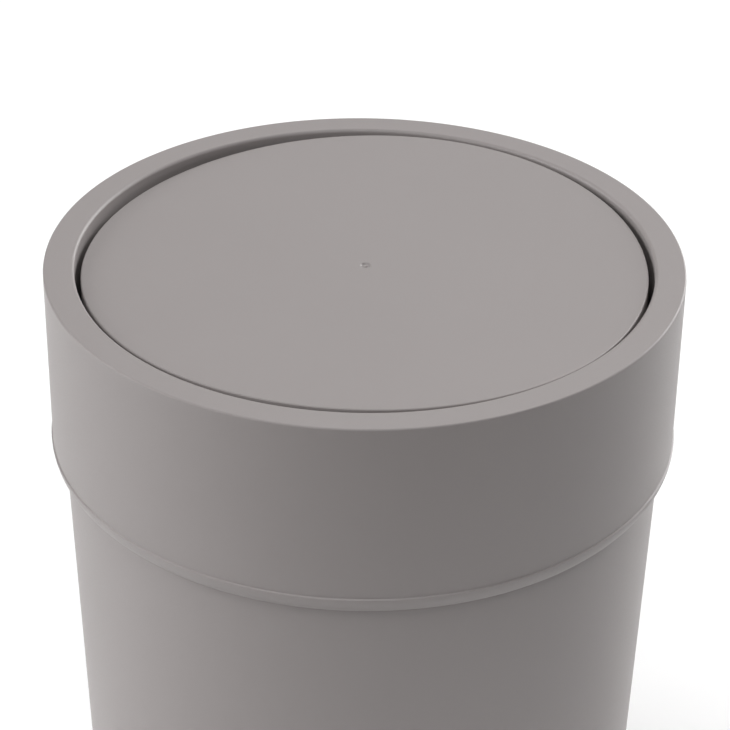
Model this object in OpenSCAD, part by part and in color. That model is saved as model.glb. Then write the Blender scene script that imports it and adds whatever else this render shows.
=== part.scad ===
// Countertop waste bin: a tapered bucket, a deep collar that lifts off it, and a
// round dished flap that swings both ways in the collar's mouth. Millimetres,
// +Z up, standing on z = 0 about the bin's centre line, with the flap's pivot
// along Y. Outlines are [radius, height, corner radius] and are turned about Z.

/* [Overall] */
// Height from the counter to the flat ring on top
bin_h = 220; // [190:1:260]
// Diameter over the top of the collar
ring_d = 165; // [150:1:190]

/* [Collar] */
// Height of the collar, from the ring down to the edge of the lip
collar_h = 52.3; // [44:0.1:64]
// Wall of the collar's skirt and ring
collar_wall = 1.8; // [1.5:0.1:2.2]
// How far the skirt widens on each side on its way down
skirt_flare = 0.5; // [0.2:0.1:1]
// Height of the lip that rolls in below the skirt
lip_h = 4; // [3:0.1:6]
// How far the lip draws in from the skirt
lip_in = 2; // [1.6:0.1:2.6]
// Thickness of the lip at its lower edge
lip_edge = 0.9; // [0.8:0.05:1.2]
// Step out where the lip begins, left by the mould's parting line
ledge = 0.2; // [0.1:0.05:0.3]
// Radius on the ring's outer edge
ring_edge = 0.5; // [0.3:0.1:1]
// Radius where the ring turns down into the mouth
mouth_edge = 0.4; // [0.3:0.1:1.2]
// Wall round the mouth
well_wall = 1.8; // [1.4:0.1:2.2]
// Depth of the wall round the mouth
well_h = 25; // [20:0.5:32]
// How far the mouth's wall widens on its way down
well_draft = 0.2; // [0:0.05:0.4]
// Number of gussets that stand on the bucket's rim
gussets = 12; // [8:4:20]
// Thickness of each gusset
gusset_t = 1.2; // [1:0.1:2]

/* [Bucket] */
// Wall of the bucket
bucket_wall = 1.8; // [1.4:0.1:2.2]
// Taper of the bucket's side, in degrees from upright
taper = 1.64; // [0.5:0.02:3]
// Thickness of the rim
rim_w = 2.4; // [2.2:0.1:3]
// Depth of the thickened rim
rim_h = 7; // [4:0.5:12]
// How far the rim lies below the ring
rim_drop = 20; // [13:0.5:22]
// Length of upright neck that reaches up from the collar's lip
neck_lap = 3; // [1:0.5:8]
// Room between the bucket and the collar's lip, each side
lid_fit = 0.5; // [0.35:0.05:0.8]
// Room between the rim and the wall round the mouth
rim_play = 0.5; // [0.35:0.05:0.8]
// Thickness of the floor
floor_t = 2; // [1.6:0.1:3]
// Radius on the outside of the bottom edge
base_edge = 5; // [3:0.5:8]
// Height of the foot ring
foot_h = 2.5; // [1.5:0.1:4]
// Width of the foot ring's flat
foot_w = 4; // [3:0.5:8]
// Number of ribs under the floor
floor_ribs = 8; // [6:2:16]
// Thickness of each rib under the floor
floor_rib_t = 1.4; // [1:0.1:2]

/* [Flap] */
// Gap between the flap and the mouth
flap_gap = 1.75; // [1.6:0.05:3]
// How far the flap's face lies below the ring at its two pivot ends
flap_sink = 0.4; // [0:0.1:0.8]
// How far the face dips from the pivot ends to its middle line, across the pivot
dish_drop = 2.4; // [1:0.1:3]
// Thickness of the flap's plate
plate_t = 2; // [1.5:0.1:2.3]
// Wall of the flap's down-turned edge
edge_t = 1.5; // [1.2:0.1:2]
// How far the down-turned edge reaches below the pivot
edge_drop = 5; // [5:0.5:9]
// Depth of the pivot below the ring
pivot_drop = 7; // [6.7:0.1:8.5]
// Swing to either side of level, in degrees
swing_max = 85; // [60:1:88]
// How far off level the flap comes to rest, in degrees
rest_swing = 0.5; // [0:0.1:2]
// Thickness of the ribs under the plate
rib_t = 1.3; // [1:0.1:2]
// Depth of the cross ribs below the plate
rib_h = 4.5; // [3:0.5:6]
// Spacing of the cross ribs
rib_pitch = 30; // [24:1:36]
// Distance between the two ribs of the spine
spine_w = 11; // [10.5:0.5:14]
// Diameter of the moulding gate's dimple in the middle of the face
gate_d = 2.8; // [2:0.1:4]
// Depth of that dimple
gate_deep = 0.35; // [0.2:0.05:0.6]

/* [Pivots] */
// Diameter of the pivot pins
pin_d = 4; // [3:0.1:4.4]
// Running clearance round a pin in the collar, on radius
pin_play = 0.05; // [0.02:0.01:0.1]
// Interference of a pin in the flap, on radius
pin_grip = 0.02; // [0.01:0.01:0.03]
// Length of pin in the collar's bearing
pin_reach = 4.4; // [3:0.1:4.6]
// Space past the end of a pin
pin_end = 0.6; // [0.4:0.1:1]
// Thickness of a pin's head
pin_head_t = 1.5; // [1:0.1:2]
// Diameter of a pin's head
pin_head_d = 6.4; // [5.4:0.1:6.8]
// Wall round the pin, in the flap and in the collar
boss_wall = 2.9; // [2.2:0.1:3.2]
// Length of the flap's bosses
boss_l = 12; // [9:0.5:16]
// Width of the stop below each bearing
stop_w = 3; // [2:0.1:4]
// Thickness of the flap's lugs, which land on the stops
lug_t = 2; // [1.6:0.1:2.4]
// Depth of the lugs
lug_h = 3.8; // [3:0.1:4.2]
// How far the lugs and stops overlap
stop_hold = 0.8; // [0.5:0.05:0.9]
// Room between a lug and its stop at the end of the swing
stop_play = 0.05; // [0.02:0.01:0.1]
// Room between moving parts
free_gap = 0.35; // [0.3:0.05:0.5]

/* [Counterweight] */
// Length of the steel bar
weight_l = 64; // [54:1:80]
// Width of the steel bar
weight_w = 16; // [14:0.5:20]
// Thickness of the steel bar
weight_t = 4; // [3:0.1:5]
// Depth of the bar's seat below the pivot
weight_seat = 7.6; // [7.2:0.1:9]
// Distance between the two screws
screw_pitch = 44; // [38:1:46]
// Diameter of a screw's thread
screw_d = 3; // [2.5:0.1:3.5]
// Length of thread in the flap
screw_l = 8; // [5:0.5:9]
// Diameter of a screw's head
screw_head_d = 6; // [5:0.1:7]
// Height of a screw's head
screw_head_h = 1.8; // [1.4:0.1:2.2]
// Wall of the plastic round a screw
screw_wall = 2.3; // [1.8:0.1:2.6]

/* [Hidden] */
$fn = 180;
arc_steps = 8;          // straight pieces in each rounded corner
bite = 0.6;             // how far one shape runs into the next where they are one piece
dish_fn = 1440;         // facets of the dish's very large cylinder
warm_grey = "#a3a09c";
pin_white = "#e6e4de";

// Collar
ring_r = ring_d/2;
skirt_r = ring_r + skirt_flare;
skirt_h = collar_h - lip_h;
lip_r = skirt_r - lip_in;
lip_bore_r = lip_r - lip_edge;
small_edge = 0.3;
inner_edge = 0.7;

// Bucket
neck_r = lip_bore_r - lid_fit;
neck_z = bin_h - collar_h + neck_lap;
floor_z = foot_h + floor_t;
rim_inner_r = neck_r - rim_w;
seat_z = bin_h - rim_drop;
rim_edge = 0.6;
rim_blend = 3;
foot_draft = 0.6;
inner_base_edge = base_edge - bucket_wall;
gate_boss_r = 7;
rib_z = foot_h/2;       // the ribs under the floor stop this far above the counter

// Mouth and pivot
mouth_r = rim_inner_r - rim_play - well_wall;
pin_r = pin_d/2;
boss_r = pin_r + boss_wall;
pivot_z = bin_h - pivot_drop;
bearing_end = mouth_r + pin_reach + pin_end;

// Flap, about its pivot
flap_r = mouth_r - flap_gap;
dish_z = pivot_drop - flap_sink - dish_drop;
dish_r = (flap_r*flap_r + dish_drop*dish_drop)/(2*dish_drop);
boss_in = flap_r - edge_t - boss_l;
gate_nib_d = 1;
gate_nib_drop = 0.1;

// Stops: lugs on the flap meet a short rib below each bearing
stop_face = flap_r + free_gap;
lug_face = stop_face + stop_hold;
lug_near = pin_r + 0.8;  // the lugs start clear of the pin's bore
lug_far = lug_near + lug_h;

// Counterweight
screw_r = screw_d/2;
screw_boss_r = screw_r + screw_wall;
screw_head_edge = 1.1;
screw_grip = 0.05;
screw_hole_play = 0.4;
head_recess_w = 0.9;

function unit(v) = v/norm(v);
function flat(p) = [p[0], p[1]];

// One corner of an outline: an arc of radius p[2] that touches both of its sides
function corner(a, p, b) =
    p[2] == 0 ? [flat(p)] :
    let (
        u = unit(flat(a) - flat(p)),
        v = unit(flat(b) - flat(p)),
        half = acos(u*v)/2,
        centre = flat(p) + unit(u + v)*p[2]/sin(half),
        from = flat(p) + u*p[2]/tan(half) - centre,
        to = flat(p) + v*p[2]/tan(half) - centre,
        start = atan2(from[1], from[0]),
        turn = atan2(from[0]*to[1] - from[1]*to[0], from*to)
    )
    [for (i = [0:arc_steps]) centre + p[2]*[cos(start + turn*i/arc_steps), sin(start + turn*i/arc_steps)]];

function rounded(path) =
    let (n = len(path))
    [for (i = [0:n - 1]) each corner(path[(i + n - 1)%n], path[i], path[(i + 1)%n])];

// A bulge that leaves a wall upright at [r, z], falls by h and draws in by w
function bulge(r, z, w, h) =
    let (radius = (w*w + h*h)/(2*w), sweep = asin(h/radius))
    [for (i = [0:arc_steps])
        [r - radius*(1 - cos(sweep*i/arc_steps)), z - radius*sin(sweep*i/arc_steps), 0]];

function reversed(path) = [for (i = [len(path) - 1:-1:0]) path[i]];

// Radius of the bucket's side at a height
function side_r(z) = neck_r - (neck_z - z)*tan(taper);

module on_both_ends() {
    for (side = [0, 180]) {
        rotate(side) {
            children();
        }
    }
}

// Turns a cylinder that stands on the origin so that it runs outwards along +Y
module along_y(y) {
    translate([0, y, 0]) {
        rotate([-90, 0, 0]) {
            children();
        }
    }
}

// Places what is drawn about the pivot, hanging as the flap comes to rest
module at_pivot() {
    translate([0, 0, pivot_z]) {
        rotate([0, -rest_swing, 0]) {
            children();
        }
    }
}

// ---------------------------------------------------------------- bucket

module bucket_side() {
    foot_r = side_r(0) - base_edge - foot_w;
    rotate_extrude() {
        polygon(rounded([
            [0, foot_h, 0],
            [foot_r - foot_draft, foot_h, small_edge],
            [foot_r, 0, small_edge],
            [side_r(0), 0, base_edge],
            [neck_r, neck_z, 0],
            [neck_r, seat_z, rim_edge],
            [rim_inner_r, seat_z, rim_edge],
            [rim_inner_r, seat_z - rim_h, 0],
            [neck_r - bucket_wall, seat_z - rim_h - rim_blend, 0],
            [neck_r - bucket_wall, neck_z, 0],
            [side_r(floor_z) - bucket_wall, floor_z, inner_base_edge],
            [0, floor_z, 0]
        ]));
    }
}

module floor_rib() {
    length = side_r(0) - base_edge - foot_w;
    translate([0, -floor_rib_t/2, rib_z]) {
        cube([length, floor_rib_t, foot_h + floor_t/2 - rib_z]);
    }
}

module bucket() {
    color(warm_grey) {
        union() {
            bucket_side();
            for (i = [0:floor_ribs - 1]) {
                rotate(360*i/floor_ribs) {
                    floor_rib();
                }
            }
            translate([0, 0, rib_z]) {
                cylinder(r = gate_boss_r, h = foot_h + floor_t/2 - rib_z);
            }
        }
    }
}

// ---------------------------------------------------------------- collar

module collar_shell() {
    lip_outer = bulge(skirt_r, -skirt_h, lip_in, lip_h);
    lip_inner = bulge(skirt_r - collar_wall, -skirt_h, lip_in + lip_edge - collar_wall, lip_h);
    translate([0, 0, bin_h]) {
        rotate_extrude() {
            polygon(rounded(concat(
                [
                    [mouth_r + well_draft, -well_h, small_edge],
                    [mouth_r, 0, mouth_edge],
                    [ring_r, 0, ring_edge],
                    [skirt_r - ledge, ledge - skirt_h, 0]
                ],
                lip_outer,
                reversed(lip_inner),
                [
                    [ring_r - collar_wall, -collar_wall, inner_edge],
                    [mouth_r + well_wall, -collar_wall, inner_edge],
                    [mouth_r + well_wall, -well_h, small_edge]
                ]
            )));
        }
    }
}

// A web across the channel, whose lower edge stands on the bucket's rim
module gusset() {
    translate([mouth_r + well_wall/2, -gusset_t/2, seat_z]) {
        cube([ring_r - collar_wall/2 - mouth_r - well_wall/2, gusset_t, bin_h - collar_wall/2 - seat_z]);
    }
}

// Holds the end of a pin, in the channel and up against the underside of the ring
module bearing() {
    start = mouth_r + well_wall/2;
    length = ring_r - collar_wall/2 - start;
    translate([0, 0, pivot_z]) {
        along_y(start) {
            cylinder(r = boss_r, h = length);
        }
        translate([bite - boss_r, start, 0]) {
            cube([2*(boss_r - bite), length, pivot_drop - collar_wall/2]);
        }
    }
}

module stop_rib() {
    stop_top = pivot_z - pin_r - pin_play - bite;
    stop_h = lug_far - pin_r;
    translate([-stop_w/2, stop_face, stop_top - stop_h]) {
        cube([stop_w, mouth_r + well_wall/2 - stop_face, stop_h]);
    }
}

module bearing_bore() {
    translate([0, 0, pivot_z]) {
        along_y(mouth_r - bite) {
            cylinder(r = pin_r + pin_play, h = bearing_end - mouth_r + bite);
        }
    }
}

module lid_collar() {
    color(warm_grey) {
        difference() {
            union() {
                collar_shell();
                for (i = [0:gussets - 1]) {
                    rotate(360*(i + 0.5)/gussets) {
                        gusset();
                    }
                }
                on_both_ends() {
                    bearing();
                    stop_rib();
                }
            }
            on_both_ends() {
                bearing_bore();
            }
        }
    }
}

// ---------------------------------------------------------------- flap

// All that lies below the flap's dished face when that is lowered by sink
module below_dish(sink) {
    difference() {
        translate([-ring_r, -ring_r, -ring_r]) {
            cube([ring_d, ring_d, ring_r + pivot_drop + bite]);
        }
        translate([0, 0, dish_z - sink + dish_r]) {
            rotate([0, -90, 0]) {
                cylinder(r = dish_r, h = ring_d + 2*bite, center = true, $fn = dish_fn);
            }
        }
    }
}

module round_block(r, low) {
    translate([0, 0, -low]) {
        cylinder(r = r, h = low + pivot_drop + bite);
    }
}

module flap_shell() {
    difference() {
        intersection() {
            round_block(flap_r, edge_drop);
            below_dish(0);
        }
        intersection() {
            round_block(flap_r - edge_t, edge_drop + bite);
            below_dish(plate_t);
        }
    }
}

// One rib of the spine, from boss to boss, deeper in the middle to seat the weight
module spine_rib() {
    end = flap_r - edge_t/2;
    middle = weight_l/2 + rib_t;
    rotate([90, 0, 90]) {
        linear_extrude(rib_t, center = true) {
            polygon([
                [-end, -boss_r], [-boss_in, -boss_r], [-middle, -weight_seat],
                [middle, -weight_seat], [boss_in, -boss_r], [end, -boss_r],
                [end, pivot_drop], [-end, pivot_drop]
            ]);
        }
    }
}

module cross_ribs() {
    plate_low = dish_z - plate_t;
    for (y = [-1.5*rib_pitch:rib_pitch:1.5*rib_pitch]) {
        translate([-flap_r, y - rib_t/2, plate_low - rib_h]) {
            cube([2*flap_r, rib_t, rib_h + plate_t]);
        }
    }
}

module flap_ribs() {
    intersection() {
        union() {
            for (side = [-1, 1]) {
                translate([side*spine_w/2, 0, 0]) {
                    spine_rib();
                }
                translate([0, side*screw_pitch/2, -weight_seat]) {
                    cylinder(r = screw_boss_r, h = weight_seat + pivot_drop);
                }
            }
            cross_ribs();
        }
        round_block(flap_r - edge_t/2, weight_seat + bite);
        below_dish(plate_t/2);
    }
}

module pin_boss() {
    intersection() {
        along_y(boss_in) {
            cylinder(r = boss_r, h = boss_l + edge_t/2);
        }
        below_dish(plate_t/2);
    }
}

// Two lugs that land flat against the stop when the flap has swung to its limit
module stop_lugs() {
    for (side = [-1, 1]) {
        rotate([0, -side*swing_max, 0]) {
            translate([side*(stop_w + lug_t + 2*stop_play)/2 - lug_t/2, flap_r - edge_t/2, -lug_far]) {
                cube([lug_t, lug_face - flap_r + edge_t/2, lug_far - lug_near]);
            }
        }
    }
}

module gate_mark() {
    translate([0, 0, dish_z - gate_deep]) {
        difference() {
            cylinder(d = gate_d, h = gate_deep + bite);
            translate([0, 0, -bite]) {
                cylinder(d = gate_nib_d, h = gate_deep + bite - gate_nib_drop);
            }
        }
    }
}

module flap_holes() {
    on_both_ends() {
        along_y(boss_in - bite) {
            cylinder(r = pin_r - pin_grip, h = flap_r + 2*bite - boss_in);
        }
    }
    for (side = [-1, 1]) {
        translate([0, side*screw_pitch/2, -weight_seat - bite]) {
            cylinder(r = screw_r - screw_grip, h = screw_l + bite + small_edge);
        }
    }
}

module swing_disc() {
    color(warm_grey) {
        at_pivot() {
            difference() {
                union() {
                    flap_shell();
                    flap_ribs();
                    on_both_ends() {
                        pin_boss();
                        stop_lugs();
                    }
                }
                flap_holes();
                gate_mark();
            }
        }
    }
}

// ---------------------------------------------------------------- pivots

module pivot_pin() {
    shank = mouth_r + pin_reach - boss_in;
    head_r = pin_head_d/2;
    at_pivot() {
        along_y(boss_in - pin_head_t) {
            rotate_extrude() {
                polygon(rounded([
                    [0, 0, 0],
                    [head_r, 0, small_edge],
                    [head_r, pin_head_t, small_edge],
                    [pin_r, pin_head_t, 0],
                    [pin_r, pin_head_t + shank, small_edge],
                    [0, pin_head_t + shank, 0]
                ]));
            }
        }
    }
}

module pivot_pin_rear() {
    color(pin_white) {
        pivot_pin();
    }
}

module pivot_pin_front() {
    color(pin_white) {
        mirror([0, 1, 0]) {
            pivot_pin();
        }
    }
}

// ---------------------------------------------------------------- counterweight

module bar_outline() {
    straight = weight_l - weight_w;
    square([weight_w, straight], center = true);
    for (side = [-1, 1]) {
        translate([0, side*straight/2]) {
            circle(d = weight_w);
        }
    }
}

module counterweight() {
    color("silver") {
        at_pivot() {
            translate([0, 0, -weight_seat - weight_t]) {
                difference() {
                    linear_extrude(weight_t) {
                        bar_outline();
                    }
                    for (side = [-1, 1]) {
                        translate([0, side*screw_pitch/2, -bite]) {
                            cylinder(r = screw_r + screw_hole_play, h = weight_t + 2*bite);
                        }
                    }
                }
            }
        }
    }
}

module weight_screw() {
    head_r = screw_head_d/2;
    grip = screw_head_h + weight_t + screw_l;
    difference() {
        rotate_extrude() {
            polygon(rounded([
                [0, 0, 0],
                [head_r, 0, screw_head_edge],
                [head_r, screw_head_h, 0],
                [screw_r, screw_head_h, 0],
                [screw_r, grip, small_edge],
                [0, grip, 0]
            ]));
        }
        for (turn = [0, 90]) {
            rotate(turn) {
                translate([-head_r/2, -head_recess_w/2, -bite]) {
                    cube([head_r, head_recess_w, bite + screw_head_h/2]);
                }
            }
        }
    }
}

module weight_screws() {
    color("gainsboro") {
        at_pivot() {
            for (side = [-1, 1]) {
                translate([0, side*screw_pitch/2, -weight_seat - weight_t - screw_head_h]) {
                    weight_screw();
                }
            }
        }
    }
}

bucket();
lid_collar();
swing_disc();
pivot_pin_front();
pivot_pin_rear();
counterweight();
weight_screws();
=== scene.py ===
import math

import bpy
from mathutils import Matrix, Vector


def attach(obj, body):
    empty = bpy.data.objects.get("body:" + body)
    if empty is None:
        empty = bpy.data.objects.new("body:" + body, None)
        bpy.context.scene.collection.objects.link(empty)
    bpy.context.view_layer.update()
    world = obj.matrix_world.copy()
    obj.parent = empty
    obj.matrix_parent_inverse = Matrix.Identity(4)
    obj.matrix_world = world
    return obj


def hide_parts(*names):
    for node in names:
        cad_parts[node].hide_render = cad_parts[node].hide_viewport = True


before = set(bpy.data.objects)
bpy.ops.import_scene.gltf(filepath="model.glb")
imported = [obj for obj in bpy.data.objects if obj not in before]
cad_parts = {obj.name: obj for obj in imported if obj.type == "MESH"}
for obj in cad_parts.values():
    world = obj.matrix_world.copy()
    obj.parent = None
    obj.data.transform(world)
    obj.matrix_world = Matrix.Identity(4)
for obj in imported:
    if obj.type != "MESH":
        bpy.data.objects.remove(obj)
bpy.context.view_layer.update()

# ------------------------------------------------------------------ sizes, in mm
# They are those of the CAD model, which this script can't read, apart from the collar's lip and
# step, the mouth, the bucket's neck, the flap's radius and the gate's mark. Those are off by up to
# 0.6 mm, to fit the photo.

BIN_H = 220.0
RING_R = 82.5
RING_EDGE = 0.5
SKIRT_R = 82.85
SKIRT_H = 48.45
LIP_H = 4.45
LIP_IN = 1.9
LIP_EDGE = 0.9
LEDGE_W = 0.35
LEDGE_H = 0.28
COLLAR_WALL = 1.8
COLLAR_FILLET = 0.7
WELL_WALL = 1.8
WELL_H = 25.0
WELL_DRAFT = 0.2
GUSSETS = 12
GUSSET_T = 1.2

NECK_R = 79.5
NECK_Z = 170.7
RIM_R = 77.2
RIM_Z = 200.0
RIM_H = 7.0
RIM_BLEND = 3.0
RIM_EDGE = 0.6
BUCKET_WALL = 1.8
TAPER = math.tan(math.radians(1.64))
FLOOR_T = 2.0
FOOT_H = 2.5
FOOT_W = 4.0
FOOT_DRAFT = 0.6
BASE_EDGE = 5.0
FLOOR_RIBS = 8
FLOOR_RIB_T = 1.4
RIB_Z = 1.25
GATE_BOSS_R = 7.0

MOUTH_R = 74.55
MOUTH_EDGE = 0.95
PIVOT_DROP = 7.0
PIVOT_Z = 213.0
FLAP_R = 73.05
DISH_Z = 4.2
DISH_DROP = 2.4
DISH_R = (FLAP_R**2 + DISH_DROP**2)/(2*DISH_DROP)
PLATE_T = 2.0
PLATE_ROOM = 0.5    # how far below the dish the plate is drawn before it is lifted onto it
FACE_EDGE = 0.4
FACE_BORDER = 0.8   # width of the plate's outermost ring, in which the face's edge is rounded
EDGE_T = 1.5
EDGE_DROP = 5.0
REST_SWING = 0.5
SWING_MAX = 85.0
RIB_T = 1.3
RIB_H = 4.5
RIB_PITCH = 30.0
SPINE_W = 11.0

GATE_R = 1.5
GATE_FLOOR_R = 1.1
GATE_DEEP = 0.4
GATE_NIB_R = 0.5
GATE_NIB_TIP_R = 0.3
GATE_NIB_DROP = 0.08
GATE_NIB_EDGE = 0.05
GATE_FILLET = 0.15
GATE_OVER = 0.02    # how far above the face the dimple's wall is drawn
GATE_AT = (0.1, 0.6)

PIN_R = 2.0
PIN_GRIP = 0.02
PIN_PLAY = 0.05
PIN_HEAD_R = 3.2
PIN_HEAD_T = 1.5
PIN_END = 79.3
BEARING_END = 79.9
BOSS_R = 4.9
BOSS_IN = 59.65
STOP_W = 3.0
STOP_FACE = 73.5
STOP_TOP = 2.65
STOP_H = 4.6
LUG_T = 2.0
LUG_H = 3.8
LUG_NEAR = 2.8
LUG_FACE = 74.3
STOP_PLAY = 0.05

WEIGHT_L = 64.0
WEIGHT_W = 16.0
WEIGHT_T = 4.0
WEIGHT_SEAT = 7.6
WEIGHT_EDGE = 0.35
SCREW_PITCH = 44.0
SCREW_R = 1.5
SCREW_L = 8.0
SCREW_PLAY = 0.4    # round the screw in the bar
THREAD_BITE = 0.05
SCREW_HEAD_R = 3.0
SCREW_HEAD_H = 1.8
SCREW_DOME = 1.1
SCREW_HEAD_EDGE = 0.12
RECESS_W = 0.9
SCREW_BOSS_R = 3.8

MM = 0.001
EDGE = 0.3          # radius of the small edges
BITE = 0.6          # how far one shape runs into the next before they are joined
NEAR = 0.02         # how far off a corner or a limit a point still counts as on it
WELD = 0.0001       # points closer than this become one
TURNS = 240         # steps round the bin's outlines
ROD_TURNS = 48      # steps round the rods and posts
DISH_RINGS = 12     # rings of points that the dished face is drawn with
DISH_TURNS = 5760   # steps round the very large cylinder that dishes it


# ------------------------------------------------------------------ modelling

def deselect_all():
    for obj in bpy.context.selected_objects:
        obj.select_set(False)


def pick(obj):
    deselect_all()
    obj.select_set(True)
    bpy.context.view_layer.objects.active = obj
    return obj


def set_place():
    """Makes the picked object's place and turn part of its shape."""
    bpy.ops.object.transform_apply(location=True, rotation=True, scale=True)


def put(obj, place):
    """Moves an object by a matrix, as part of its shape."""
    pick(obj)
    obj.matrix_world = place
    set_place()
    return obj


def added(name):
    """The object that the last operator added, under its own name."""
    obj = bpy.context.active_object
    obj.name = name
    obj.data.name = name
    set_place()
    return pick(obj)


def from_axis(p):
    return math.hypot(p.x, p.y)


def select_edges(obj, wanted):
    """In edit mode, selects the edges whose two ends both pass the test, and only those."""
    bpy.ops.mesh.select_all(action="DESELECT")
    bpy.ops.object.mode_set(mode="OBJECT")
    points = obj.data.vertices
    for edge in obj.data.edges:
        edge.select = all(wanted(points[i].co/MM) for i in edge.vertices)
    bpy.ops.object.mode_set(mode="EDIT")
    bpy.ops.mesh.select_mode(type="EDGE")


def round_edges(obj, radius, steps, wanted):
    select_edges(obj, wanted)
    bpy.ops.mesh.bevel(
        offset=radius*MM, segments=steps, affect="EDGES", profile=0.5, clamp_overlap=True)


def turn_at(before, here, after):
    """Half the angle by which an outline turns at a corner."""
    a = Vector((here[0] - before[0], here[1] - before[1])).normalized()
    b = Vector((after[0] - here[0], after[1] - here[1])).normalized()
    return math.acos(max(-1.0, min(1.0, a.dot(b))))/2


def step_out(r, z, r2, z2):
    """Extrudes the selected ring from [r, z] to [r2, z2]."""
    bpy.ops.mesh.extrude_edges_move(TRANSFORM_OT_translate={"value": (0, 0, (z2 - z)*MM)})
    bpy.ops.transform.resize(value=(r2/r, r2/r, 1), center_override=(0, 0, z2*MM))


def turned(name, outline, closed=False, turns=TURNS, steps=4):
    """A turned piece from an outline of [radius, height, corner radius].

    An open outline starts and ends on the axis, and a closed one goes round a ring's section.
    """
    r, z = outline[0][:2]
    bpy.ops.mesh.primitive_circle_add(
        vertices=turns, radius=r*MM, fill_type="NOTHING" if closed else "TRIFAN",
        location=(0, 0, z*MM))
    obj = added(name)
    bpy.ops.object.mode_set(mode="EDIT")
    select_edges(obj, lambda p: from_axis(p) > r/2)
    for r2, z2 in [point[:2] for point in outline[1:]]:
        step_out(r, z, r2, z2)
        r, z = r2, z2
    if closed:
        step_out(r, z, *outline[0][:2])
    else:
        bpy.ops.mesh.extrude_edges_move(TRANSFORM_OT_translate={"value": (0, 0, 0)})
        bpy.ops.mesh.merge(type="CENTER")
    bpy.ops.mesh.select_all(action="SELECT")
    bpy.ops.mesh.remove_doubles(threshold=WELD*MM)
    bpy.ops.mesh.normals_make_consistent(inside=False)
    last = len(outline) - 1
    for i, (r, z, radius) in enumerate(outline):
        if radius:
            before = outline[i - 1] if closed or i > 0 else (0, z)
            after = outline[(i + 1) % len(outline)] if closed or i < last else (0, z)
            reach = radius*math.tan(turn_at(before, (r, z), after))
            round_edges(obj, reach, steps,
                        lambda p: abs(from_axis(p) - r) < NEAR and abs(p.z - z) < NEAR)
    bpy.ops.object.mode_set(mode="OBJECT")
    return obj


def bulge(r, z, w, h, steps=8):
    """Points of a curve that leaves a wall upright at [r, z], falls by h and draws in by w."""
    radius = (w*w + h*h)/(2*w)
    sweep = math.asin(h/radius)
    return [(r - radius*(1 - math.cos(sweep*i/steps)), z - radius*math.sin(sweep*i/steps), 0)
            for i in range(steps + 1)]


def block(name, low, high):
    size = [(b - a)*MM for a, b in zip(low, high)]
    centre = [(a + b)/2*MM for a, b in zip(low, high)]
    bpy.ops.mesh.primitive_cube_add(size=1, location=centre, scale=size)
    return added(name)


def rod(name, r, y1, y2, z):
    """A cylinder along Y from y1 to y2, at height z."""
    bpy.ops.mesh.primitive_cylinder_add(
        vertices=ROD_TURNS, radius=r*MM, depth=(y2 - y1)*MM, location=(0, (y1 + y2)/2*MM, z*MM),
        rotation=(math.pi/2, 0, 0))
    return added(name)


def post(name, r, x, y, z1, z2):
    """An upright cylinder from z1 to z2."""
    bpy.ops.mesh.primitive_cylinder_add(
        vertices=ROD_TURNS, radius=r*MM, depth=(z2 - z1)*MM,
        location=(x*MM, y*MM, (z1 + z2)/2*MM))
    return added(name)


def turned_copy(obj, name, angle):
    """A copy with its own mesh, turned about Z by an angle in degrees."""
    pick(obj)
    bpy.ops.object.duplicate(linked=False)
    copy = added(name)
    bpy.ops.transform.rotate(
        value=-math.radians(angle), orient_axis="Z", center_override=(0, 0, 0))
    set_place()
    return copy


def joined(name, *objs):
    deselect_all()
    for obj in objs:
        obj.select_set(True)
    bpy.context.view_layer.objects.active = objs[0]
    bpy.ops.object.join()
    return added(name)


def combine(obj, other, operation):
    """Adds, cuts or keeps what it shares with another piece, which is used up."""
    pick(obj)
    modifier = obj.modifiers.new("Combine", "BOOLEAN")
    modifier.operation = operation
    modifier.solver = "MANIFOLD"
    modifier.object = other
    bpy.ops.object.modifier_apply(modifier=modifier.name)
    bpy.data.objects.remove(other, do_unlink=True)
    return obj


def smooth(obj, angle=35):
    """Smooth shading that stays flat on the larger faces up to their rounded edges."""
    pick(obj)
    bpy.ops.object.shade_smooth_by_angle(angle=math.radians(angle))
    modifier = obj.modifiers.new("Normals", "WEIGHTED_NORMAL")
    modifier.keep_sharp = True
    bpy.ops.object.modifier_apply(modifier=modifier.name)
    return obj


def hang(obj):
    """Lifts what was drawn about the pivot to its height, as the flap comes to rest."""
    rest = Matrix.Rotation(-math.radians(REST_SWING), 4, "Y")
    return put(obj, Matrix.Translation((0, 0, PIVOT_Z*MM)) @ rest)


# ------------------------------------------------------------------ bucket

def side_r(z):
    return NECK_R - (NECK_Z - z)*TAPER


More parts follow.
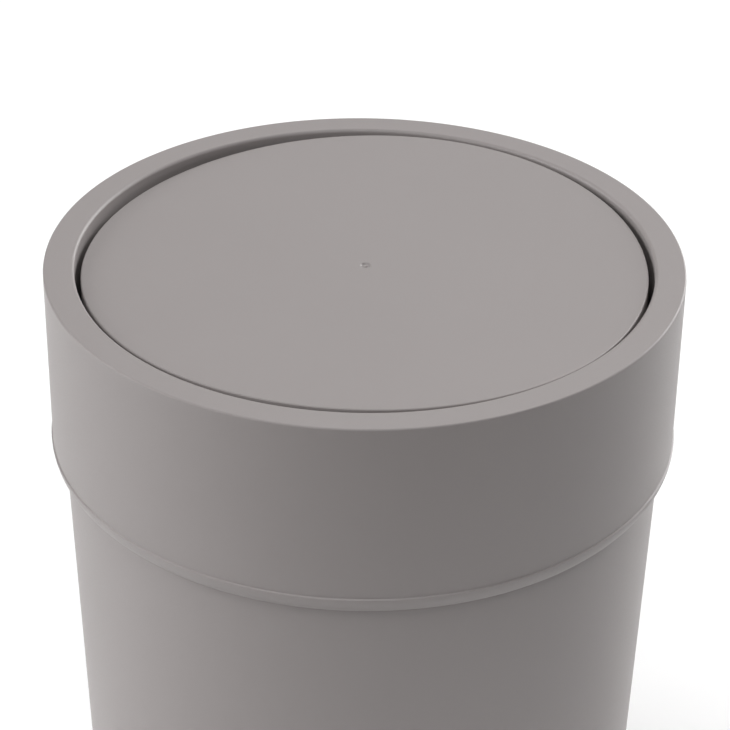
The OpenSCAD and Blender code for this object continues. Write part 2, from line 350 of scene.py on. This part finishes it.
def make_bucket():
    floor_z = FOOT_H + FLOOR_T
    foot_r = side_r(0) - BASE_EDGE - FOOT_W
    bucket = turned("bucket_moulding", [
        (foot_r - FOOT_DRAFT, FOOT_H, EDGE),
        (foot_r, 0, EDGE),
        (side_r(0), 0, BASE_EDGE),
        (NECK_R, NECK_Z, 0),
        (NECK_R, RIM_Z, RIM_EDGE),
        (RIM_R, RIM_Z, RIM_EDGE),
        (RIM_R, RIM_Z - RIM_H, 0),
        (NECK_R - BUCKET_WALL, RIM_Z - RIM_H - RIM_BLEND, 0),
        (NECK_R - BUCKET_WALL, NECK_Z, 0),
        (side_r(floor_z) - BUCKET_WALL, floor_z, BASE_EDGE - BUCKET_WALL),
    ], steps=6)
    in_floor = FOOT_H + FLOOR_T/2
    for i in range(FLOOR_RIBS//2):
        bar = block("floor_rib", (-foot_r, -FLOOR_RIB_T/2, RIB_Z),
                    (foot_r, FLOOR_RIB_T/2, in_floor))
        rib = turned_copy(bar, "floor_rib_turned", 360*i/FLOOR_RIBS)
        bpy.data.objects.remove(bar, do_unlink=True)
        combine(bucket, rib, "UNION")
    combine(bucket, post("gate_boss", GATE_BOSS_R, 0, 0, RIB_Z, in_floor), "UNION")
    return smooth(bucket)


# ------------------------------------------------------------------ collar

def make_collar():
    lip_z = BIN_H - SKIRT_H
    lip_outer = bulge(SKIRT_R, lip_z, LIP_IN, LIP_H)
    lip_inner = bulge(SKIRT_R - COLLAR_WALL, lip_z, LIP_IN + LIP_EDGE - COLLAR_WALL, LIP_H)
    under = BIN_H - COLLAR_WALL
    collar = turned("collar_moulding", [
        (MOUTH_R + WELL_DRAFT, BIN_H - WELL_H, EDGE),
        (MOUTH_R, BIN_H, MOUTH_EDGE),
        (RING_R, BIN_H, RING_EDGE),
        (SKIRT_R - LEDGE_W, lip_z + LEDGE_H, 0),
        *lip_outer,
        *reversed(lip_inner),
        (RING_R - COLLAR_WALL, under, COLLAR_FILLET),
        (MOUTH_R + WELL_WALL, under, COLLAR_FILLET),
        (MOUTH_R + WELL_WALL, BIN_H - WELL_H, EDGE),
    ], closed=True)
    in_well = MOUTH_R + WELL_WALL/2
    in_skirt = RING_R - COLLAR_WALL/2
    in_ring = BIN_H - COLLAR_WALL/2
    web = block("gusset", (in_well, -GUSSET_T/2, RIM_Z), (in_skirt, GUSSET_T/2, in_ring))
    webs = [turned_copy(web, "gusset_turned", 360*(i + 0.5)/GUSSETS) for i in range(GUSSETS)]
    bpy.data.objects.remove(web, do_unlink=True)
    combine(collar, joined("gussets", *webs), "UNION")
    for side in (-1, 1):
        near, far = sorted((side*in_well, side*in_skirt))
        combine(collar, rod("bearing", BOSS_R, near, far, PIVOT_Z), "UNION")
        top = block("bearing_top", (BITE - BOSS_R, near, PIVOT_Z), (BOSS_R - BITE, far, in_ring))
        combine(collar, top, "UNION")
        near, far = sorted((side*STOP_FACE, side*in_well))
        stop = block("stop_rib", (-STOP_W/2, near, PIVOT_Z - STOP_TOP - STOP_H),
                     (STOP_W/2, far, PIVOT_Z - STOP_TOP))
        combine(collar, stop, "UNION")
        near, far = sorted((side*(MOUTH_R - BITE), side*BEARING_END))
        combine(collar, rod("bearing_bore", PIN_R + PIN_PLAY, near, far, PIVOT_Z), "DIFFERENCE")
    return smooth(collar)


# ------------------------------------------------------------------ flap

def make_dish_tool(sink):
    """A very large cylinder along X, whose underside is the flap's dished face lowered by sink."""
    bpy.ops.mesh.primitive_cylinder_add(
        vertices=DISH_TURNS, radius=DISH_R*MM, depth=4*FLAP_R*MM, end_fill_type="NOTHING",
        location=(0, 0, (DISH_Z - sink + DISH_R)*MM), rotation=(0, math.pi/2, 0))
    return added("dish_tool")


def lift_to_dish(obj, sink, wanted):
    """Moves the chosen points straight up onto the dished face, lowered by sink."""
    group = obj.vertex_groups.new(name="dish")
    group.add([v.index for v in obj.data.vertices if wanted(v.co/MM)], 1.0, "REPLACE")
    tool = make_dish_tool(sink)
    pick(obj)
    modifier = obj.modifiers.new("Dish", "SHRINKWRAP")
    modifier.target = tool
    modifier.wrap_method = "PROJECT"
    modifier.use_project_z = True
    modifier.use_negative_direction = False
    modifier.use_positive_direction = True
    modifier.vertex_group = group.name
    bpy.ops.object.modifier_apply(modifier=modifier.name)
    bpy.data.objects.remove(tool, do_unlink=True)
    obj.vertex_groups.clear()
    return obj


def inward_rings(r, z):
    """Points that run inwards over a disc, so that it can be dished."""
    return [(r*(1 - i/DISH_RINGS), z, 0) for i in range(1, DISH_RINGS)]


def make_plate():
    """The flap's shell: dished plate and down-turned edge."""
    top = DISH_Z - PLATE_ROOM
    under = DISH_Z - PLATE_T - PLATE_ROOM
    inner_r = FLAP_R - EDGE_T
    plate = turned("flap_moulding", [
        *[(FLAP_R*i/DISH_RINGS, top, 0) for i in range(1, DISH_RINGS)],
        (FLAP_R - FACE_BORDER, top, 0),
        (FLAP_R, top, 0),
        (FLAP_R, -EDGE_DROP, 0),
        (inner_r, -EDGE_DROP, 0),
        (inner_r, under, 0),
        *inward_rings(inner_r, under),
    ])
    lift_to_dish(plate, 0, lambda p: p.z > top - NEAR)
    lift_to_dish(plate, PLATE_T,
                 lambda p: abs(p.z - under) < NEAR and from_axis(p) < inner_r + NEAR)
    bpy.ops.object.mode_set(mode="EDIT")
    round_edges(plate, FACE_EDGE, 5, lambda p: from_axis(p) > FLAP_R - NEAR and p.z > 0)
    round_edges(plate, EDGE, 3,
                lambda p: from_axis(p) > FLAP_R - NEAR and p.z < NEAR - EDGE_DROP)
    bpy.ops.object.mode_set(mode="OBJECT")
    return plate


def make_rib_room():
    """The space inside the edge and up to the middle of the plate, which trims the ribs."""
    r = FLAP_R - EDGE_T/2
    top = DISH_Z - PLATE_T/2 - PLATE_ROOM
    low = -WEIGHT_SEAT - BITE
    room = turned("rib_room", [
        (r/DISH_RINGS, low, 0), (r, low, 0), (r, top, 0), *inward_rings(r, top)], turns=120)
    return lift_to_dish(room, PLATE_T/2, lambda p: p.z > top - NEAR)


def make_spine_rib(x):
    """A rib along the pivot line, deeper over the weight and stepped up to the pins' bosses."""
    end = FLAP_R - EDGE_T/2
    middle = WEIGHT_L/2 + RIB_T
    rib = block("spine_rib", (x - RIB_T/2, -end, -BOSS_R), (x + RIB_T/2, end, PIVOT_DROP))
    bpy.ops.object.mode_set(mode="EDIT")
    for y in (-BOSS_IN, -middle, middle, BOSS_IN):
        bpy.ops.mesh.select_all(action="SELECT")
        bpy.ops.mesh.bisect(plane_co=(0, y*MM, 0), plane_no=(0, 1, 0))
    select_edges(rib, lambda p: abs(p.y) < middle + NEAR and p.z < NEAR - BOSS_R)
    bpy.ops.transform.translate(value=(0, 0, (BOSS_R - WEIGHT_SEAT)*MM))
    bpy.ops.object.mode_set(mode="OBJECT")
    return rib


def make_gate_tool():
    """Cuts what the moulding's gate leaves: a round dimple with a snapped-off nib in it."""
    floor_z = DISH_Z - GATE_DEEP
    tool = turned("gate_dimple", [
        (GATE_NIB_TIP_R, DISH_Z - GATE_NIB_DROP, GATE_NIB_EDGE),
        (GATE_NIB_R, floor_z, 0),
        (GATE_FLOOR_R, floor_z, GATE_FILLET),
        (GATE_R, DISH_Z + GATE_OVER, 0),
        (GATE_R, DISH_Z + BITE, 0),
        (GATE_NIB_R, DISH_Z + BITE, 0),
    ], turns=48, steps=2)
    x, y = GATE_AT
    return put(tool, Matrix.Translation((x*MM, y*MM, 0)))


def make_flap():
    plate = make_plate()
    in_edge = FLAP_R - EDGE_T/2
    ribs = [make_spine_rib(side*SPINE_W/2) for side in (-1, 1)]
    low = DISH_Z - PLATE_T - RIB_H
    for i in (-1.5, -0.5, 0.5, 1.5):
        y = i*RIB_PITCH
        ribs.append(block("cross_rib", (-FLAP_R, y - RIB_T/2, low), (FLAP_R, y + RIB_T/2, DISH_Z)))
    for side in (-1, 1):
        y = side*SCREW_PITCH/2
        ribs.append(post("screw_boss", SCREW_BOSS_R, 0, y, -WEIGHT_SEAT, PIVOT_DROP))
        near, far = sorted((side*BOSS_IN, side*in_edge))
        ribs.append(rod("pin_boss", BOSS_R, near, far, 0))
    frame_of_ribs = ribs[0]
    for rib in ribs[1:]:
        combine(frame_of_ribs, rib, "UNION")
    combine(frame_of_ribs, make_rib_room(), "INTERSECT")
    combine(plate, frame_of_ribs, "UNION")
    for end in (0, 180):
        for side in (-1, 1):
            x = side*(STOP_W + LUG_T + 2*STOP_PLAY)/2
            lug = block("stop_lug", (x - LUG_T/2, in_edge, -LUG_NEAR - LUG_H),
                        (x + LUG_T/2, LUG_FACE, -LUG_NEAR))
            put(lug, Matrix.Rotation(-side*math.radians(SWING_MAX), 4, "Y"))
            combine(plate, turned_copy(lug, "stop_lug_turned", end), "UNION")
            bpy.data.objects.remove(lug, do_unlink=True)
    for side in (-1, 1):
        near, far = sorted((side*(BOSS_IN - BITE), side*(FLAP_R + BITE)))
        combine(plate, rod("pin_hole", PIN_R - PIN_GRIP, near, far, 0), "DIFFERENCE")
        hole = post("screw_hole", SCREW_R - THREAD_BITE, 0, side*SCREW_PITCH/2,
                    -WEIGHT_SEAT - BITE, SCREW_L - WEIGHT_SEAT)
        combine(plate, hole, "DIFFERENCE")
    combine(plate, make_gate_tool(), "DIFFERENCE")
    return smooth(hang(plate))


# ------------------------------------------------------------------ pins, weight and screws

def make_pin(name, side):
    length = PIN_END - BOSS_IN + PIN_HEAD_T
    pin = turned(name, [
        (PIN_HEAD_R/2, 0, 0),
        (PIN_HEAD_R, 0, EDGE),
        (PIN_HEAD_R, PIN_HEAD_T, EDGE),
        (PIN_R, PIN_HEAD_T, 0),
        (PIN_R, length, EDGE),
        (PIN_R/2, length, 0),
    ], turns=64, steps=3)
    to_side = Matrix.Rotation(0 if side > 0 else math.pi, 4, "Z")
    outwards = Matrix.Translation((0, (BOSS_IN - PIN_HEAD_T)*MM, 0))
    put(pin, to_side @ outwards @ Matrix.Rotation(-math.pi/2, 4, "X"))
    return smooth(hang(pin))


def make_weight():
    turns = 96
    low = -WEIGHT_SEAT - WEIGHT_T
    bpy.ops.mesh.primitive_circle_add(
        vertices=turns, radius=WEIGHT_W/2*MM, fill_type="NGON", location=(0, 0, low*MM),
        rotation=(0, 0, math.pi/turns))
    bar = added("weight_bar")
    bpy.ops.object.mode_set(mode="EDIT")
    for side in (-1, 1):
        select_edges(bar, lambda p: side*p.y > 0)
        bpy.ops.transform.translate(value=(0, side*(WEIGHT_L - WEIGHT_W)/2*MM, 0))
    bpy.ops.mesh.select_all(action="SELECT")
    bpy.ops.mesh.extrude_region_move(TRANSFORM_OT_translate={"value": (0, 0, WEIGHT_T*MM)})
    bpy.ops.mesh.select_all(action="SELECT")
    bpy.ops.mesh.normals_make_consistent(inside=False)
    for z in (low, -WEIGHT_SEAT):
        round_edges(bar, WEIGHT_EDGE, 3, lambda p: abs(p.z - z) < NEAR)
    bpy.ops.object.mode_set(mode="OBJECT")
    for side in (-1, 1):
        hole = post("bar_hole", SCREW_R + SCREW_PLAY, 0, side*SCREW_PITCH/2,
                    low - BITE, BITE - WEIGHT_SEAT)
        combine(bar, hole, "DIFFERENCE")
    return smooth(hang(bar))


def make_screw(name, side):
    length = SCREW_HEAD_H + WEIGHT_T + SCREW_L
    screw = turned(name, [
        (SCREW_HEAD_R/2, 0, 0),
        (SCREW_HEAD_R, 0, SCREW_DOME),
        (SCREW_HEAD_R, SCREW_HEAD_H, SCREW_HEAD_EDGE),
        (SCREW_R, SCREW_HEAD_H, 0),
        (SCREW_R, length, EDGE),
        (SCREW_R/2, length, 0),
    ], turns=64, steps=5)
    for along, across in ((SCREW_HEAD_R/2, RECESS_W/2), (RECESS_W/2, SCREW_HEAD_R/2)):
        slot = block("recess", (-along, -across, -BITE), (along, across, SCREW_HEAD_H/2))
        combine(screw, slot, "DIFFERENCE")
    head_z = -WEIGHT_SEAT - WEIGHT_T - SCREW_HEAD_H
    put(screw, Matrix.Translation((0, side*SCREW_PITCH/2*MM, head_z*MM)))
    return smooth(hang(screw))


# ------------------------------------------------------------------ materials

def linear(colour):
    """An sRGB hex colour as linear RGBA."""
    values = [int(colour[i:i + 2], 16)/255 for i in (1, 3, 5)]
    return [v/12.92 if v <= 0.04045 else ((v + 0.055)/1.055)**2.4 for v in values] + [1.0]


def add(tree, kind, inputs=None, **settings):
    """A node with its settings, and inputs that are values or sockets to link."""
    node = tree.nodes.new(kind)
    for key, value in settings.items():
        setattr(node, key, value)
    for key, value in (inputs or {}).items():
        if isinstance(value, bpy.types.NodeSocket):
            tree.links.new(value, node.inputs[key])
        else:
            node.inputs[key].default_value = value
    return node


def new_material(name, **values):
    """A material with values for its shader's inputs, under their names with _ for a space."""
    material = bpy.data.materials.new(name)
    material.use_nodes = True
    tree = material.node_tree
    shader = tree.nodes["Principled BSDF"]
    for key, value in values.items():
        shader.inputs[key.replace("_", " ")].default_value = value
    return material, tree, shader


def object_place(tree, stretch=(1, 1, 1)):
    """The object's own coordinates, stretched along its axes."""
    place = add(tree, "ShaderNodeTexCoord").outputs["Object"]
    return add(tree, "ShaderNodeMapping", {"Vector": place, "Scale": stretch}).outputs["Vector"]


def noise(tree, place, size_mm, detail, roughness):
    """Noise whose largest lumps are about size_mm across."""
    node = add(tree, "ShaderNodeTexNoise", {
        "Vector": place, "Scale": 1/(size_mm*MM), "Detail": detail, "Roughness": roughness})
    return node.outputs["Fac"]


def blend(tree, factor, light, dark):
    colours = {"Factor": factor, "A": linear(light), "B": linear(dark)}
    return add(tree, "ShaderNodeMix", colours, data_type="RGBA").outputs["Result"]


def spread(tree, factor, low, high):
    """A noise's usual range, 0.3 to 0.7, spread from low to high."""
    node = add(tree, "ShaderNodeMapRange", {
        "Value": factor, "From Min": 0.3, "From Max": 0.7, "To Min": low, "To Max": high})
    return node.outputs["Result"]


def emboss(tree, shader, height, depth_mm):
    bump = add(tree, "ShaderNodeBump", {"Height": height, "Strength": 1.0, "Distance": depth_mm*MM})
    tree.links.new(bump.outputs["Normal"], shader.inputs["Normal"])


def moulded_polypropylene():
    """An even warm grey that scatters light softly, with a dull sheen at a glancing angle.

    The mould's spark-eroded texture gives a fine grain, and the melt's flow slow changes of tone.
    """
    material, tree, shader = new_material(
        "moulded polypropylene, spark-eroded texture", IOR=1.49, Subsurface_Weight=0.3,
        Subsurface_Radius=(1, 1, 1), Subsurface_Scale=0.0006)
    place = object_place(tree)
    flow = noise(tree, place, size_mm=45, detail=2.0, roughness=0.4)
    tree.links.new(blend(tree, flow, "#9a9493", "#989291"), shader.inputs["Base Color"])
    grain = noise(tree, place, size_mm=0.35, detail=3.0, roughness=0.6)
    tree.links.new(spread(tree, grain, low=0.43, high=0.51), shader.inputs["Roughness"])
    emboss(tree, shader, grain, depth_mm=0.012)
    return material


def natural_acetal():
    """Off-white, a little translucent and slippery, with faint marks left by the mould's polish."""
    material, tree, shader = new_material(
        "natural acetal, smooth", IOR=1.48, Subsurface_Weight=0.12, Subsurface_Scale=0.001)
    place = object_place(tree)
    haze = noise(tree, place, size_mm=3.0, detail=2.0, roughness=0.5)
    tree.links.new(blend(tree, haze, "#e9e6dd", "#e2ded3"), shader.inputs["Base Color"])
    along = object_place(tree, stretch=(1, 0.15, 1))
    polish = noise(tree, along, size_mm=0.25, detail=2.0, roughness=0.5)
    tree.links.new(spread(tree, polish, low=0.28, high=0.38), shader.inputs["Roughness"])
    emboss(tree, shader, polish, depth_mm=0.002)
    return material


def plated_bar():
    """Zinc plated mild steel: dull grey, a trace of blue, and lines rolled in along the bar."""
    material, tree, shader = new_material("zinc plated mild steel, dull", Metallic=1.0)
    spangle = noise(tree, object_place(tree), size_mm=2.5, detail=3.0, roughness=0.55)
    tree.links.new(blend(tree, spangle, "#c3c7cb", "#abb0b4"), shader.inputs["Base Color"])
    along = object_place(tree, stretch=(1, 0.03, 1))
    lines = noise(tree, along, size_mm=0.3, detail=3.0, roughness=0.6)
    tree.links.new(spread(tree, lines, low=0.34, high=0.5), shader.inputs["Roughness"])
    emboss(tree, shader, lines, depth_mm=0.004)
    return material


def plated_screw():
    """Bright zinc plate: lighter and smoother than the bar, with small changes of polish."""
    material, tree, shader = new_material("zinc plated steel, bright", Metallic=1.0)
    place = object_place(tree)
    tint = noise(tree, place, size_mm=1.2, detail=2.0, roughness=0.5)
    tree.links.new(blend(tree, tint, "#d3d4d2", "#c6c9cb"), shader.inputs["Base Color"])
    polish = noise(tree, place, size_mm=0.2, detail=3.0, roughness=0.6)
    tree.links.new(spread(tree, polish, low=0.2, high=0.32), shader.inputs["Roughness"])
    emboss(tree, shader, polish, depth_mm=0.002)
    return material


def white_paper():
    """Matt white, which shows nothing but the bin's soft shadow."""
    material, _, shader = new_material("white paper sweep", Roughness=0.9)
    shader.inputs["Base Color"].default_value = linear("#fcfcfc")
    return material


# ------------------------------------------------------------------ pieces

bucket = make_bucket()
collar = make_collar()
flap = make_flap()
rear_pin = make_pin("rear_pin", 1)
front_pin = make_pin("front_pin", -1)
weight = make_weight()
rear_screw = make_screw("rear_screw", 1)
front_screw = make_screw("front_screw", -1)

plastic = moulded_polypropylene()
acetal = natural_acetal()
bar_plate = plated_bar()
screw_plate = plated_screw()

# Each piece with the body that it rides on, the node that it stands for, its slot and its material
PIECES = [
    (bucket, "bucket", "bucket", "bin_plastic", plastic),
    (collar, "lid", "lid_collar", "bin_plastic", plastic),
    (flap, "flap", "swing_disc", "bin_plastic", plastic),
    (rear_pin, "flap", "pivot_pin_rear", "pin_plastic", acetal),
    (front_pin, "flap", "pivot_pin_front", "pin_plastic", acetal),
    (weight, "flap", "counterweight", "weight_steel", bar_plate),
    (rear_screw, "flap", "weight_screws", "screw_steel", screw_plate),
    (front_screw, "flap", "weight_screws", "screw_steel", screw_plate),
]
for piece, body, node, slot, material in PIECES:
    piece.data.materials.clear()
    piece.data.materials.append(material)
    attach(piece, body)
    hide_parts(node)


# ------------------------------------------------------------------ camera, floor and light

LENS_MM = 123.45
SENSOR_MM = 36.0
SHIFT_X, SHIFT_Y = -0.00055, 0.0012
CAMERA_AT = Vector((0.1940, -0.5316, 0.5309))
RIGHT = Vector((0.93969, 0.34202, 0.0))
UP = Vector((-0.17760, 0.48794, 0.85464))
ROLL = math.radians(0.75)

camera_data = bpy.data.cameras.new("camera")
camera = bpy.data.objects.new("camera", camera_data)
bpy.context.scene.collection.objects.link(camera)
camera_data.lens = LENS_MM
camera_data.sensor_width = SENSOR_MM
camera_data.sensor_fit = "HORIZONTAL"
camera_data.shift_x = SHIFT_X
camera_data.shift_y = SHIFT_Y
across = math.cos(ROLL)*RIGHT + math.sin(ROLL)*UP
upward = math.cos(ROLL)*UP - math.sin(ROLL)*RIGHT
back = across.cross(upward)
turn = Matrix((across, upward, back)).transposed().to_4x4()
camera.matrix_world = Matrix.Translation(CAMERA_AT) @ turn
bpy.context.scene.camera = camera

# The floor ends a little in front of the bin, like a table's edge, outside the picture. One that
# went on would light the bin's front too much from below.
FLOOR_SIZE = 8.0
FRONT_EDGE = 0.4
TO_FRONT = math.atan2(CAMERA_AT.y, CAMERA_AT.x)
floor_at = (FRONT_EDGE - FLOOR_SIZE/2)*Vector((math.cos(TO_FRONT), math.sin(TO_FRONT), 0))
bpy.ops.mesh.primitive_plane_add(size=FLOOR_SIZE, location=floor_at, rotation=(0, 0, TO_FRONT))
floor = added("floor")
floor.data.materials.append(white_paper())

LIGHT_TARGET = Vector((0, 0, 0.18))
LIGHT_DISTANCE = 2.2
LIGHT_SIZE = 1.3


def soft_light(name, azimuth, elevation, power):
    """A square softbox that faces the bin from an azimuth and elevation in degrees."""
    data = bpy.data.lights.new(name, "AREA")
    data.size = LIGHT_SIZE
    data.energy = power
    lamp = bpy.data.objects.new(name, data)
    bpy.context.scene.collection.objects.link(lamp)
    a, e = math.radians(azimuth), math.radians(elevation)
    outward = Vector((math.cos(e)*math.cos(a), math.cos(e)*math.sin(a), math.sin(e)))
    lamp.location = LIGHT_TARGET + LIGHT_DISTANCE*outward
    lamp.rotation_euler = outward.to_track_quat("Z", "Y").to_euler()
    return lamp


soft_light("rear right softbox", azimuth=65, elevation=20, power=47.0)
soft_light("left softbox", azimuth=200, elevation=20, power=28.6)
soft_light("front left softbox", azimuth=245, elevation=20, power=7.9)
soft_light("front overhead softbox", azimuth=290, elevation=50, power=14.1)
soft_light("rear overhead softbox", azimuth=110, elevation=50, power=10.0)
soft_light("top softbox", azimuth=290, elevation=75, power=11.2)

# White where the camera looks past the floor. It lights nothing.
world = bpy.data.worlds.new("studio")
world.use_nodes = True
backdrop = world.node_tree.nodes["Background"]
backdrop.inputs["Color"].default_value = (1, 1, 1, 1)
camera_ray = add(world.node_tree, "ShaderNodeLightPath").outputs["Is Camera Ray"]
world.node_tree.links.new(camera_ray, backdrop.inputs["Strength"])
bpy.context.scene.world = world
bpy.context.scene.view_settings.view_transform = "Standard"
